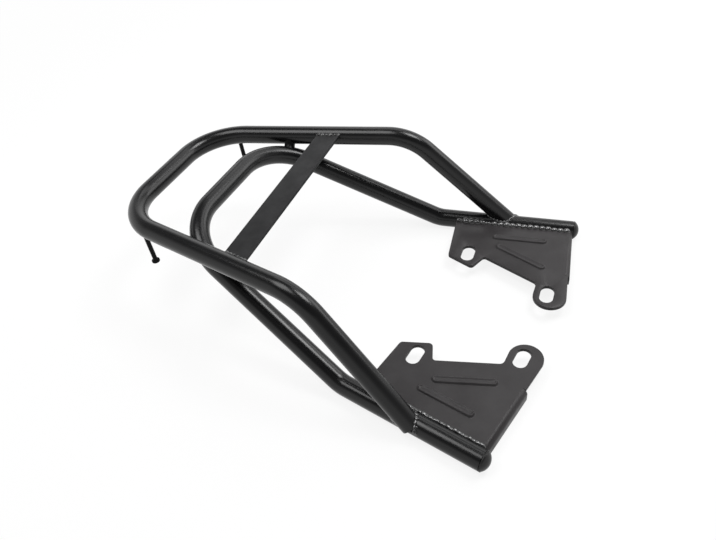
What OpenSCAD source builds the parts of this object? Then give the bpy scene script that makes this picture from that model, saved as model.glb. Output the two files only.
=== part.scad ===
// Motorcycle luggage rack: two nested bent tube loops, a flat cross strap and two slotted mounting plates.
// Origin: midway between the two front slots, on the underside plane of the mounting plates.
// +X right, +Y toward the mounting end, +Z up. All sizes in millimetres.

/* [Tube] */
// Outer diameter of both bent tubes
tube_d = 19; // [14:0.5:28]
// Wall thickness of both bent tubes
tube_wall = 1.5; // [1:0.25:3]

/* [Upper loop] */
// From the tube front ends back to the axis of the upper rear cross
loop_length = 394; // [340:1:480]
// From the tube front ends back to the front bend of the upper rails
loop_bend_back = 171; // [150:0.5:200]
// From the tube front ends back to where the upper rails land on the lower tube
loop_land_back = 65.5; // [50:0.5:85]
// How far outward of the lower tube axis the upper rails land
loop_land_out = 3; // [0:0.25:4]
// Half width between the upper rear corners, at the axis corner points
loop_rear_half = 77.5; // [70:0.5:100]
// Half width at the front bend of the upper rails
loop_front_half = 122.5; // [112:0.5:150]
// Axis height of the upper rear cross above the underside of the plates
loop_rear_h = 82.5; // [65:0.5:110]
// Axis height of the front bend of the upper rails above the underside of the plates
loop_front_h = 97.5; // [80:0.5:125]
// Bend radius of the upper rear corners
loop_corner_r = 56; // [35:0.5:65]
// Bend radius of the upper front bends
loop_front_r = 56; // [30:0.5:80]

/* [Lower loop] */
// From the tube front ends back to the axis of the lower rear cross
lower_length = 320; // [290:0.5:332]
// From the tube front ends back to the shallow bend under the deck
lower_bend_back = 140; // [132:0.5:160]
// How far the lower rear corners reach under the inner edges of the upper rails
lower_rear_lap = 6; // [2:0.5:8]
// Half width at the shallow bends
lower_bend_half = 124; // [112:0.5:136]
// Half width at the tube front ends
lower_front_half = 151; // [140:0.5:175]
// Axis height of the lower rear cross above the underside of the plates
lower_rear_h = 85; // [65:0.5:92]
// Bend radius of the lower rear corners
lower_corner_r = 61; // [35:0.5:68]
// Bend radius of the shallow bends
lower_bend_r = 30; // [20:1:70]

/* [Cross strap] */
// Width of the flat cross strap
strap_w = 24.5; // [16:0.5:40]
// Thickness of the flat cross strap
strap_t = 3; // [2:0.5:5]
// From the tube front ends back to the strap centre line
strap_back = 249; // [225:0.5:270]
// Drop of the strap top below the tops of the rails
strap_drop = 4; // [2:0.25:6]
// Turn of the strap in the deck plane: its right end sits further forward
strap_skew = 2.8; // [0:0.1:5]

/* [Mounting plates] */
// Height of the underside of the plates above the axis of the level tubes
plate_lift = 2; // [0:0.25:3]
// Sheet thickness of the mounting plates
plate_t = 3.5; // [2:0.25:5]
// From the tube front ends back to the rear edge of a plate
plate_back = 122.4; // [118:0.2:135]
// Inset of the plate front edge from the tube front ends
plate_front = 2; // [1:0.25:4]
// From the tube axis inward to the rear outer corner of the rear ear
rear_ear_in = 65.5; // [60:0.5:70]
// From the tube axis inward to the tip of the rear ear
rear_tip_in = 79.6; // [72:0.2:84]
// From the tube front ends back to the tip of the rear ear
rear_tip_back = 96.3; // [94:0.1:102]
// From the tube axis inward to the notch in front of the rear ear
notch_in = 62.4; // [56:0.1:66]
// From the tube front ends back to the notch
notch_back = 86; // [80:0.1:88]
// Corner radius of the rear ear
ear_corner_r = 4; // [2:0.5:6]
// From the tube axis inward to the centre of the round front ear
front_ear_in = 108.5; // [100:0.5:118]
// Radius of the round front ear
front_ear_r = 15.8; // [13:0.1:18]
// From the tube axis inward to the root of the round front ear
ear_root_in = 92; // [86:0.5:94]
// From the tube front ends back to the root of the round front ear
ear_root_back = 31.4; // [29:0.2:36]

/* [Mounting slots] */
// Width of the mounting slots
slot_w = 13; // [9:0.25:15]
// Overall length of the mounting slots
slot_l = 22.5; // [17:0.5:26]
// Angle of the slots from the X axis
slot_lean = 5.5; // [0:0.5:6]
// From the tube axis inward to the centre of the rear slot
rear_slot_in = 59.7; // [55:0.1:62]
// From the tube front ends back to the centre of the rear slot
rear_slot_back = 102.7; // [101:0.1:106]
// From the tube axis inward to the centre of the front slot
front_slot_in = 106.4; // [104:0.1:109]
// From the tube front ends back to the centre of the front slot
front_slot_back = 20.5; // [18:0.1:22]

/* [Pressed ribs and folded flange] */
// Radius of the pressed ribs across their round back
rib_r = 6.5; // [5.5:0.25:8]
// Height of the ribs above the sheet
rib_h = 2; // [1:0.1:3]
// Depth of the folded front flange below the sheet top
flange_depth = 12.5; // [10:0.5:18]
// From the tube axis inward to the end of the folded flange
flange_in = 77; // [70:0.5:82]
// Outer radius of the fold
fold_r = 5; // [4:0.5:7]

/* [Posts, spacers and end caps] */
// Diameter of the hook posts under the rear corners
post_d = 4.5; // [3:0.25:8]
// From the rail axis down to the end of a post
post_drop = 42; // [30:0.5:60]
// Diameter of the flanged post head
post_head_d = 8; // [6:0.25:12]
// Thickness of the flanged post head
post_head_t = 2; // [1.5:0.25:4]
// How far outward of the tube axis a post stands under the bend
post_out = 3; // [0:0.5:5]
// Place of the post on the rear corner, as degrees of bend before the rail
post_arc = 12; // [5:1:40]
// Diameter of the short spacer between the upper rail and the lower loop
spacer_d = 12; // [8:0.5:16]
// Place of the spacer on the lower rear corner, as degrees of bend from the rear cross
spacer_arc = 56; // [45:1:70]
// Height of the domed part of an end cap
cap_dome = 4.5; // [2:0.5:8]
// Thickness of the rim of an end cap
cap_rim = 1.5; // [1:0.25:3]
// Depth of the end cap's plug inside the tube
cap_plug = 12; // [8:0.5:18]

/* [Weld beads] */
// Diameter of the bead along a plate
bead_d = 5.5; // [4:0.25:7]
// Diameter of the bead at a strap end
strap_bead_d = 3.6; // [3:0.2:5]
// Reach of the bead around a rail landing
land_bead = 2.6; // [1.6:0.2:4]

/* [Hidden] */
$fn = 40;

bore_d = tube_d - 2 * tube_wall;
splay = atan((lower_front_half - lower_bend_half) / lower_bend_back);
// the tubes' front ends, placed so that the front slots lie on Y = 0
front_y = front_slot_back * cos(splay) - front_slot_in * sin(splay);
// clearance where a piece stops short of a neighbour, and how far a cut runs past
fit_gap = 0.25;
past = 2;
// a bend draws the tube down by this much, and each straight length laps into its bends by this
bend_slim = 0.02;
bend_lap = 0.4;

function unit(v) = v / norm(v);
function flip(p) = [-p.x, p.y, p.z];
// turn angle at b of the path a, b, c
function turn(a, b, c) = acos(unit(b - a) * unit(c - b));
function setback(a, b, c, r) = r * tan(turn(a, b, c) / 2);
// centre of the bend at b, its start and its axis
function bend_start(a, b, c, r) = b - unit(b - a) * setback(a, b, c, r);
function bend_axis(a, b, c) = unit(cross(unit(b - a), unit(c - b)));
function bend_centre(a, b, c, r) = bend_start(a, b, c, r) + r * cross(bend_axis(a, b, c), unit(b - a));

// axis points of the right half of each loop
up_rear = [loop_rear_half, front_y - loop_length, loop_rear_h];
up_front = [loop_front_half, front_y - loop_bend_back, loop_front_h];
// the lower rear corners lie inside the upper rails by a tube's width less their lap
rail_x = loop_rear_half + (loop_length - lower_length)
    * (loop_front_half - loop_rear_half) / (loop_length - loop_bend_back);
lower_rear_half = rail_x - tube_d + lower_rear_lap;
strap_rise = tube_d / 2 - strap_drop;
low_z = -plate_lift;
land_x = lower_front_half - loop_land_back * tan(splay) + loop_land_out;
up_land = [land_x, front_y - loop_land_back, low_z];
low_rear = [lower_rear_half, front_y - lower_length, lower_rear_h];
low_bend = [lower_bend_half, front_y - lower_bend_back, low_z];
low_front = [lower_front_half, front_y, low_z];
up_path = [flip(up_land), flip(up_front), flip(up_rear), up_rear, up_front, up_land];
low_path = [flip(low_front), flip(low_bend), flip(low_rear), low_rear, low_bend, low_front];
up_radii = [0, loop_front_r, loop_corner_r, loop_corner_r, loop_front_r, 0];
low_radii = [0, lower_bend_r, lower_corner_r, lower_corner_r, lower_bend_r, 0];

// deck frame: x right, y forward along the slope of the upper rails, z square to the deck
deck_slope = atan((loop_front_h - loop_rear_h) / (loop_length - loop_bend_back));
deck_run = (loop_length - loop_bend_back) / cos(deck_slope);
strap_y = (loop_length - strap_back) / cos(deck_slope);
rail_splay = (loop_front_half - loop_rear_half) / deck_run;
strap_half = loop_rear_half + rail_splay * strap_y;

// post foot on the rear corner bend, in the deck frame
corner_turn = turn(flip(up_rear), up_rear, up_front);
corner_set = loop_corner_r * tan(corner_turn / 2);
post_x = loop_rear_half - corner_set + (loop_corner_r + post_out) * sin(corner_turn - post_arc);
post_y = loop_corner_r - (loop_corner_r + post_out) * cos(corner_turn - post_arc);

// spacer: from a point of the lower rear corner bend to the nearest point of the upper rail's axis
low_c = bend_centre(flip(low_rear), low_rear, low_bend, lower_corner_r);
low_n = bend_axis(flip(low_rear), low_rear, low_bend);
low_s = cross([1, 0, 0], low_n);
sp_low = low_c + lower_corner_r * (low_s * cos(spacer_arc) + [1, 0, 0] * sin(spacer_arc));
rail_u = unit(up_front - up_rear);
sp_up = up_rear + rail_u * ((sp_low - up_rear) * rail_u);

// a solid round bar from p to q
module bar(p, q, d) {
    v = q - p;
    translate(p) rotate([0, acos(v.z / norm(v)), atan2(v.y, v.x)]) cylinder(h = norm(v), d = d);
}

// a solid bend at b on the path a, b, c
module bend(a, b, c, r, d) {
    ey = unit(b - a);
    ez = bend_axis(a, b, c);
    ex = cross(ey, ez);
    o = bend_centre(a, b, c, r);
    multmatrix([[ex.x, ey.x, ez.x, o.x], [ex.y, ey.y, ez.y, o.y], [ex.z, ey.z, ez.z, o.z], [0, 0, 0, 1]])
        rotate_extrude(angle = turn(a, b, c)) translate([r, 0]) circle(d = d - bend_slim);
}

// a solid bent bar along the points p with bend radii r, its open ends run out by e
module bent_bar(p, r, d, e) {
    n = len(p);
    cut = [for (i = [0 : n - 1]) i == 0 || i == n - 1 ? bend_lap - e : setback(p[i - 1], p[i], p[i + 1], r[i])];
    for (i = [0 : n - 2]) {
        u = unit(p[i + 1] - p[i]);
        bar(p[i] + u * (cut[i] - bend_lap), p[i + 1] - u * (cut[i + 1] - bend_lap), d);
    }
    for (i = [1 : n - 2]) bend(p[i - 1], p[i], p[i + 1], r[i], d);
}

// the straight front part of the right lower tube as a solid bar
module low_bar(d) { bar(low_bend, low_front + unit(low_front - low_bend) * 30, d); }
// the descending part of the right upper rail as a solid bar
module land_bar(d) { bar(up_front + (up_land - up_front) * 0.3, up_land, d); }
// the straight right upper rail as a solid bar
module rail_bar(d) { bar(up_rear, up_front, d); }

module on_deck() { translate([0, up_rear.y, up_rear.z]) rotate([deck_slope, 0, 0]) children(); }
// plate frame: x inward from the right tube axis, y back from its front end
module on_plate() { translate([lower_front_half, front_y, 0]) rotate([0, 0, 180 - splay]) children(); }
module left() { mirror([1, 0, 0]) children(); }

module upper_loop_tube() color([0.09, 0.09, 0.095]) {
    difference() {
        bent_bar(up_path, up_radii, tube_d, 0);
        bent_bar(up_path, up_radii, bore_d, past);
        low_bar(tube_d + 2 * fit_gap);
        left() low_bar(tube_d + 2 * fit_gap);
    }
}

module lower_loop_tube() color([0.09, 0.09, 0.095]) {
    difference() {
        bent_bar(low_path, low_radii, tube_d, 0);
        bent_bar(low_path, low_radii, bore_d, past);
    }
}

module strap_blank() {
    y0 = strap_y - strap_w / 2 / cos(strap_skew);
    y1 = strap_y + strap_w / 2 / cos(strap_skew);
    k = tan(strap_skew);
    translate([0, 0, strap_rise - strap_t]) linear_extrude(strap_t)
        polygon([[-strap_half, y0 - k * strap_half], [strap_half, y0 + k * strap_half],
                 [strap_half, y1 + k * strap_half], [-strap_half, y1 - k * strap_half]]);
}

module cross_strap() color([0.1, 0.1, 0.105]) {
    difference() {
        on_deck() strap_blank();
        rail_bar(tube_d);
        left() rail_bar(tube_d);
    }
}

module slot_cut(u, v) {
    half = (slot_l - slot_w) / 2;
    translate([u, v, -past]) rotate([0, 0, splay - slot_lean]) {
        for (s = [-1, 1]) translate([s * half, 0, 0]) cylinder(h = plate_t + 2 * past, d = slot_w);
        translate([-half, -slot_w / 2, 0]) cube([2 * half, slot_w, plate_t + 2 * past]);
    }
}

// rib end points in the plate frame
rib_inner = [[45.5, 71.9], [69, 28.5]];
rib_outer = [[30.6, 77.2], [30.1, 29.6]];

// a round-ended bar lying in the sheet along a rib
module rib_bar(ends, r) {
    p = ends[0];
    v = ends[1] - ends[0];
    translate([p.x, p.y, plate_t + rib_h - rib_r]) rotate([0, 90, atan2(v.y, v.x)])
        rotate_extrude() difference() {
            union() {
                square([r, norm(v)]);
                circle(r = r);
                translate([0, norm(v)]) circle(r = r);
            }
            translate([-3 * r, -2 * r]) square([3 * r, norm(v) + 4 * r]);
        }
}

// an outer corner b of the path a, b, c rounded with radius r: [start, end, centre]
function rounded(a, b, c, r) =
    let (u = unit(a - b), w = unit(c - b), half = acos(u * w) / 2)
    [b + u * r / tan(half), b + w * r / tan(half), b + unit(u + w) * r / sin(half)];

module plate_flat() {
    corner = rounded([0, plate_back], [rear_ear_in, plate_back], [rear_tip_in, rear_tip_back], ear_corner_r);
    tip = rounded([rear_ear_in, plate_back], [rear_tip_in, rear_tip_back], [notch_in, notch_back], ear_corner_r);
    ear = [front_ear_in, plate_front + front_ear_r];
    linear_extrude(plate_t)
        polygon([[0, fold_r], [flange_in, fold_r], [flange_in, plate_front], [ear.x, plate_front], ear,
                 ear + front_ear_r * [-sin(splay), cos(splay)],
                 [ear_root_in, ear_root_back], [notch_in, notch_back],
                 tip[1], tip[0], corner[1], corner[0], [0, plate_back]]);
    translate(ear) cylinder(h = plate_t, r = front_ear_r);
    for (c = [corner[2], tip[2]]) translate(c) cylinder(h = plate_t, r = ear_corner_r - bend_slim / 2);
}

module fold_flange() {
    // straight part of the flange below the fold
    translate([0, 0, plate_t - flange_depth]) cube([flange_in, plate_t, flange_depth - fold_r]);
    // quarter-round fold
    intersection() {
        translate([0, fold_r, plate_t - fold_r]) rotate([0, 90, 0]) difference() {
            cylinder(h = flange_in, r = fold_r);
            translate([0, 0, -1]) cylinder(h = flange_in + 2, r = fold_r - plate_t);
        }
        translate([0, 0, plate_t - fold_r]) cube([flange_in, fold_r, fold_r]);
    }
}

module plate_body() {
    difference() {
        union() {
            plate_flat();
            fold_flange();
            intersection() {
                union() { rib_bar(rib_inner, rib_r); rib_bar(rib_outer, rib_r); }
                translate([0, 0, plate_t / 2]) cube([120, 120, 10]);
            }
        }
        rib_bar(rib_inner, rib_r - plate_t);
        rib_bar(rib_outer, rib_r - plate_t);
        slot_cut(rear_slot_in, rear_slot_back);
        slot_cut(front_slot_in, front_slot_back);
    }
}

module plate() {
    difference() {
        on_plate() plate_body();
        low_bar(tube_d);
        land_bar(tube_d + 2 * fit_gap);
    }
}
module right_mounting_plate() color([0.13, 0.13, 0.13]) plate();
module left_mounting_plate() color([0.13, 0.13, 0.13]) left() plate();

module post() {
    difference() {
        on_deck() translate([post_x, post_y, -post_drop]) {
            cylinder(h = post_drop, d = post_d);
            cylinder(h = post_head_t, d = post_head_d);
        }
        bend(flip(up_rear), up_rear, up_front, loop_corner_r, tube_d);
    }
}
module right_hook_post() color([0.08, 0.08, 0.085]) post();
module left_hook_post() color([0.08, 0.08, 0.085]) left() post();

module spacer() {
    difference() {
        bar(sp_up, sp_low, spacer_d);
        rail_bar(tube_d);
        bend(flip(up_rear), up_rear, up_front, loop_corner_r, tube_d);
        bend(flip(low_rear), low_rear, low_bend, lower_corner_r, tube_d);
        bar(low_rear + unit(low_bend - low_rear) * setback(flip(low_rear), low_rear, low_bend, lower_corner_r),
            low_bend, tube_d);
    }
}
module right_loop_spacer() color([0.08, 0.08, 0.085]) spacer();
module left_loop_spacer() color([0.08, 0.08, 0.085]) left() spacer();

module cap() {
    rim_r = tube_d / 2;
    dome_r = rim_r - 0.4;
    ball_r = (dome_r * dome_r + cap_dome * cap_dome) / 2 / cap_dome;
    translate(low_front) rotate([90, 0, 180 - splay]) {
        cylinder(h = cap_rim, r = rim_r);
        intersection() {
            translate([0, 0, cap_rim + cap_dome - ball_r]) sphere(r = ball_r);
            cylinder(h = cap_rim + cap_dome + 1, r = dome_r);
        }
        translate([0, 0, -cap_plug]) difference() {
            cylinder(h = cap_plug + cap_rim / 2, d = bore_d - 0.4);
            translate([0, 0, -1]) cylinder(h = cap_plug, d = bore_d - 4.4);
        }
    }
}
module right_end_cap() color([0.05, 0.05, 0.05]) cap();
module left_end_cap() color([0.05, 0.05, 0.05]) left() cap();

module plate_weld() {
    edge = sqrt(tube_d * tube_d / 4 - pow(plate_lift + plate_t, 2));
    difference() {
        on_plate() translate([edge + 1.1, plate_front + 4, plate_t + 0.5]) rotate([-90, 0, 0])
            cylinder(h = plate_back - plate_front - 8, d = bead_d);
        on_plate() translate([0, -5, -tube_d]) cube([60, plate_back + 15, tube_d + plate_t]);
        low_bar(tube_d);
        land_bar(tube_d + 2 * fit_gap);
    }
}
module right_plate_weld() color([0.11, 0.11, 0.11]) plate_weld();
module left_plate_weld() color([0.11, 0.11, 0.11]) left() plate_weld();

module rail_weld() {
    difference() {
        intersection() {
            bar(up_front + (up_land - up_front) * 0.5, up_land, tube_d + 2 * land_bead);
            low_bar(tube_d + 1.7 * land_bead);
        }
        low_bar(tube_d);
        land_bar(tube_d);
        on_plate() translate([0, -5, -tube_d]) cube([40, 150, plate_t + tube_d + 4]);
    }
}
module right_rail_weld() color([0.11, 0.11, 0.11]) rail_weld();
module left_rail_weld() color([0.11, 0.11, 0.11]) left() rail_weld();

module strap_weld(side) {
    k = tan(strap_skew) * side;
    inset = sqrt(tube_d * tube_d / 4 - strap_rise * strap_rise) + 0.5;
    run = strap_w / 2 - 1.5;
    yc = strap_y + k * strap_half;
    difference() {
        on_deck() bar([strap_half + rail_splay * (yc - strap_y - run) - inset, yc - run, strap_rise + 0.2],
                      [strap_half + rail_splay * (yc - strap_y + run) - inset, yc + run, strap_rise + 0.2],
                      strap_bead_d);
        on_deck() translate([strap_half - 60, strap_y - 40, strap_rise - 20]) cube([60, 80, 20]);
        rail_bar(tube_d);
    }
}
module right_strap_weld() color([0.11, 0.11, 0.11]) strap_weld(1);
module left_strap_weld() color([0.11, 0.11, 0.11]) left() strap_weld(-1);

upper_loop_tube();
lower_loop_tube();
cross_strap();
right_mounting_plate();
left_mounting_plate();
right_hook_post();
left_hook_post();
right_loop_spacer();
left_loop_spacer();
right_end_cap();
left_end_cap();
right_plate_weld();
left_plate_weld();
right_rail_weld();
left_rail_weld();
right_strap_weld();
left_strap_weld();
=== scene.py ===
import logging
import math
import random
from collections.abc import Callable, Sequence
from dataclasses import dataclass, field
from enum import Enum

import bmesh
import bpy
from mathutils import Matrix, Vector


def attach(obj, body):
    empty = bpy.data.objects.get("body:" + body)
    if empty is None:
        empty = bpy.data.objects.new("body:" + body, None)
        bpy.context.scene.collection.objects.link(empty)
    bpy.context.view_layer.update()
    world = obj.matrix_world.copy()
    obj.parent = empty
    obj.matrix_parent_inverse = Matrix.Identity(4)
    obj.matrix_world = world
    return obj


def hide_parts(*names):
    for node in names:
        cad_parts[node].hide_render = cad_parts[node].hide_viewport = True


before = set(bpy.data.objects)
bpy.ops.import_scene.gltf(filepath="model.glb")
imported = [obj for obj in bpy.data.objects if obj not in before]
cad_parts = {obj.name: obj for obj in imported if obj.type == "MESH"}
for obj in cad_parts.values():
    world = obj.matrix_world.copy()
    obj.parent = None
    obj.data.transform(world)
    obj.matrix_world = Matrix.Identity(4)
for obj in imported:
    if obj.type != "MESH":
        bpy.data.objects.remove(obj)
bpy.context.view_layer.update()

LOG = logging.getLogger("luggage_rack")
MM = 0.001
UP = (0, 0, 1)
# Millimetres by which a picking line is moved so that it takes in what lies on it.
SLACK = 0.01
# Metres: points this near are one, a point this near to a line is on it, and a face this near to a
# height is at it.
SAME_M = 1e-7
ON_LINE_M = 1e-6
AT_HEIGHT_M = 1e-5
# Cosines: a face that is level, a face that looks one way, a face that stands upright.
LEVEL = 0.99999
FACING = 0.9
UPRIGHT = 0.5

Piece = bpy.types.Object
Socket = bpy.types.NodeSocket
Pair = tuple[float, float]
Triple = tuple[float, float, float]
Feeds = dict[str | int, object]


class Side(Enum):
    """The two sides of the rack, as the sign of X."""

    RIGHT = 1
    LEFT = -1


class Mesh(Enum):
    """What is picked in edit mode."""

    VERTS = "VERT"
    EDGES = "EDGE"
    FACES = "FACE"


# Bench helpers


def vec(x: float, y: float, z: float) -> Vector:
    """Give a point or direction from three numbers in millimetres."""
    return Vector((x, y, z))


def metres(point: Vector) -> Vector:
    """Turn a point in millimetres into metres."""
    return point * MM


def in_metres(place: Matrix) -> Matrix:
    """Turn a frame in millimetres into metres.

    Args:
        place: The frame in millimetres.

    Returns:
        The same frame in metres.
    """
    moved = place.copy()
    moved.translation = metres(place.translation)
    return moved


def across(step: Vector, axis: Vector) -> Vector:
    """Give the part of a step that is square to a unit axis."""
    return step - axis * step.dot(axis)


def stand_along(direction: Vector) -> Matrix:
    """Give the turn that lays +Z along a direction."""
    return direction.to_track_quat("Z", "Y").to_matrix().to_4x4()


def clear_choice() -> None:
    """Leave edit mode and deselect every object."""
    if bpy.context.object and bpy.context.object.mode != "OBJECT":
        bpy.ops.object.mode_set(mode="OBJECT")
    bpy.ops.object.select_all(action="DESELECT")


def take(piece: Piece) -> None:
    """Make one piece the only selected and active one.

    Args:
        piece: The piece.
    """
    clear_choice()
    piece.select_set(True)
    bpy.context.view_layer.objects.active = piece


def open_mesh(piece: Piece, kind: Mesh = Mesh.FACES) -> None:
    """Open a piece in edit mode, nothing picked.

    Args:
        piece: The piece to edit.
        kind: Whether verts, edges or faces are to be picked.
    """
    take(piece)
    bpy.ops.object.mode_set(mode="EDIT")
    bpy.ops.mesh.select_mode(type=kind.value)
    bpy.ops.mesh.select_all(action="DESELECT")


def pick(piece: Piece, kind: Mesh, wanted: Callable[..., bool]) -> None:
    """Pick the parts of an open mesh that pass a test.

    Args:
        piece: The piece that is open in edit mode.
        kind: Verts, edges or faces.
        wanted: The test, given a vert, an edge or a face.
    """
    bpy.ops.mesh.select_mode(type=kind.value)
    bpy.ops.mesh.select_all(action="DESELECT")
    net = bmesh.from_edit_mesh(piece.data)
    parts = {Mesh.VERTS: net.verts, Mesh.EDGES: net.edges, Mesh.FACES: net.faces}[kind]
    for part in [part for part in parts if wanted(part)]:
        part.select_set(True)
    net.select_flush_mode()
    bmesh.update_edit_mesh(piece.data)


def pick_all() -> None:
    """Pick all of the open mesh."""
    bpy.ops.mesh.select_all(action="SELECT")


def extrude(step: Vector) -> None:
    """Extrude what is picked by a step in millimetres."""
    bpy.ops.mesh.extrude_region_move(TRANSFORM_OT_translate={"value": metres(step)})


def inset(steps: Sequence[Pair]) -> None:
    """Inset the picked face step by step.

    Args:
        steps: How far each step goes in and how far it rises, in millimetres.
    """
    for inward, rise in steps:
        bpy.ops.mesh.inset(thickness=inward * MM, depth=rise * MM, use_even_offset=True)


def slice_across(place: Triple, square_to: Triple) -> None:
    """Slice all of the open mesh with a plane.

    Args:
        place: A point of the plane in metres.
        square_to: The direction that the plane is square to.
    """
    pick_all()
    bpy.ops.mesh.bisect(plane_co=place, plane_no=square_to)


def mend(gap: float = SAME_M) -> None:
    """Merge the open mesh's doubled points and turn its faces one way.

    Args:
        gap: The distance in metres within which points are one.
    """
    pick_all()
    bpy.ops.mesh.remove_doubles(threshold=gap)
    bpy.ops.mesh.normals_make_consistent(inside=False)


def close_mesh() -> None:
    """Leave edit mode."""
    bpy.ops.object.mode_set(mode="OBJECT")


def face_out(piece: Piece) -> None:
    """Turn a closed piece's faces over where they point inwards.

    Args:
        piece: The closed piece.
    """
    net = bmesh.new()
    net.from_mesh(piece.data)
    inside_out = net.calc_volume(signed=True) < 0
    net.free()
    if inside_out:
        open_mesh(piece)
        pick_all()
        bpy.ops.mesh.flip_normals()
        close_mesh()


def face_up(sheet: Piece) -> None:
    """Turn an open sheet over where its highest face looks down.

    Args:
        sheet: The sheet.
    """
    top = max(sheet.data.polygons, key=lambda f: f.center.z)
    if top.normal.z < 0:
        sheet.data.flip_normals()


def apply_place(piece: Piece) -> None:
    """Put a piece's place, turn and scale into its mesh."""
    take(piece)
    bpy.ops.object.transform_apply(location=True, rotation=True, scale=True)


def set_place(piece: Piece, place: Matrix) -> None:
    """Move a piece to its place for good, with its faces outwards.

    Args:
        piece: The piece.
        place: Its frame in metres.
    """
    piece.matrix_world = place
    apply_place(piece)
    face_out(piece)


def finish_modifier(piece: Piece, kind: str, **settings: object) -> None:
    """Add one modifier to a piece, set it and apply it.

    Args:
        piece: The piece.
        kind: Blender's name of the modifier type.
        **settings: The modifier's values by name.
    """
    take(piece)
    bpy.ops.object.modifier_add(type=kind)
    step = piece.modifiers[-1]
    for name, value in settings.items():
        setattr(step, name, value)
    bpy.ops.object.modifier_apply(modifier=step.name)


def cut(piece: Piece, tool: Piece) -> None:
    """Cut a solid tool out of a piece."""
    finish_modifier(piece, "BOOLEAN", operation="DIFFERENCE", solver="EXACT", object=tool)


def smooth(piece: Piece, degrees: float) -> None:
    """Shade a piece smooth, apart from edges sharper than an angle."""
    take(piece)
    bpy.ops.object.shade_smooth_by_angle(angle=math.radians(degrees))


def name_piece(piece: Piece, name: str) -> Piece:
    """Name a piece and its mesh.

    Args:
        piece: The piece.
        name: The name of both.

    Returns:
        The same piece.
    """
    piece.name = name
    piece.data.name = name
    return piece


def start_piece(name: str, add: Callable[..., object], **settings: object) -> Piece:
    """Start a piece from a primitive, with nothing else selected.

    Args:
        name: The piece's name.
        add: The operator that adds the primitive.
        **settings: The operator's settings.

    Returns:
        The primitive, its place in its mesh.
    """
    clear_choice()
    add(**settings)
    piece = name_piece(bpy.context.object, name)
    apply_place(piece)
    return piece


def copy_piece(piece: Piece, name: str) -> Piece:
    """Copy a piece with a mesh of its own.

    Args:
        piece: The piece to copy.
        name: The copy's name.

    Returns:
        The copy.
    """
    twin = piece.copy()
    twin.data = piece.data.copy()
    bpy.context.scene.collection.objects.link(twin)
    return name_piece(twin, name)


def mirrored(piece: Piece, name: str) -> Piece:
    """Make the left piece from the right one.

    Args:
        piece: The finished right piece.
        name: The left piece's name.

    Returns:
        The mirrored copy, faces outwards.
    """
    twin = copy_piece(piece, name)
    twin.scale = (-1, 1, 1)
    apply_place(twin)
    face_out(twin)
    return twin


def joined(pieces: Sequence[Piece], name: str) -> Piece:
    """Join pieces into one.

    Args:
        pieces: The pieces.
        name: The joined piece's name.

    Returns:
        The joined piece.
    """
    take(pieces[0])
    for piece in pieces:
        piece.select_set(True)
    bpy.ops.object.join()
    return name_piece(bpy.context.view_layer.objects.active, name)


def scrap(*pieces: Piece) -> None:
    """Remove cutting tools once they are used."""
    for piece in pieces:
        bpy.data.objects.remove(piece, do_unlink=True)


# Node graphs


def grey(value: float) -> tuple[float, float, float, float]:
    """Give a grey as a colour socket takes it."""
    return (value, value, value, 1.0)


@dataclass(frozen=True)
class NodeBench:
    """The nodes of one material or of the room, and a short way to add to them."""

    owner: bpy.types.Material | bpy.types.World

    def feed(self, node: bpy.types.Node, sockets: Feeds) -> None:
        """Fill a node's inputs.

        Args:
            node: The node.
            sockets: A value or another node's output for each input, by name or number.
        """
        for key, value in sockets.items():
            if isinstance(value, Socket):
                self.owner.node_tree.links.new(value, node.inputs[key])
            else:
                node.inputs[key].default_value = value

    def add(self, kind: str, sockets: Feeds | None = None, **settings: str) -> bpy.types.Node:
        """Add a node.

        Args:
            kind: Blender's name of the shader node type, without its common start.
            sockets: What its inputs are fed.
            **settings: The node's own settings by name.

        Returns:
            The node.
        """
        node = self.owner.node_tree.nodes.new("ShaderNode" + kind)
        for name, value in settings.items():
            setattr(node, name, value)
        self.feed(node, sockets or {})
        return node

    def noise(self, place: Socket, per_m: float, detail: float, rough: float) -> Socket:
        """Add a noise.

        Args:
            place: The coordinates that it lies on.
            per_m: How many waves there are to a metre.
            detail: Octaves of finer noise.
            rough: How strong the finer noise is.

        Returns:
            The noise's value.
        """
        sockets = {"Vector": place, "Scale": per_m, "Detail": detail, "Roughness": rough}
        return self.add("TexNoise", sockets).outputs["Fac"]

    def ramp(self, value: Socket, span: Pair, to: Pair, **settings: str) -> Socket:
        """Map a value from one range to another.

        Args:
            value: The value.
            span: The range that it is taken from.
            to: What the two ends of that range become.
            **settings: The Map Range node's settings by name.

        Returns:
            The mapped value.
        """
        sockets = {"Value": value, "From Min": span[0], "From Max": span[1], "To Min": to[0], "To Max": to[1]}
        return self.add("MapRange", sockets, **settings).outputs["Result"]

    def bump(self, height: Socket, depth: float, under: Socket | None = None) -> Socket:
        """Add a bump.

        Args:
            height: Its height, from 0 to 1.
            depth: What a height of 1 is, in millimetres.
            under: The bump that it lies on.

        Returns:
            The bumped normal.
        """
        sockets = {"Strength": 1.0, "Distance": depth * MM, "Height": height}
        if under is not None:
            sockets["Normal"] = under
        return self.add("Bump", sockets).outputs["Normal"]


# Finishes


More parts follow.
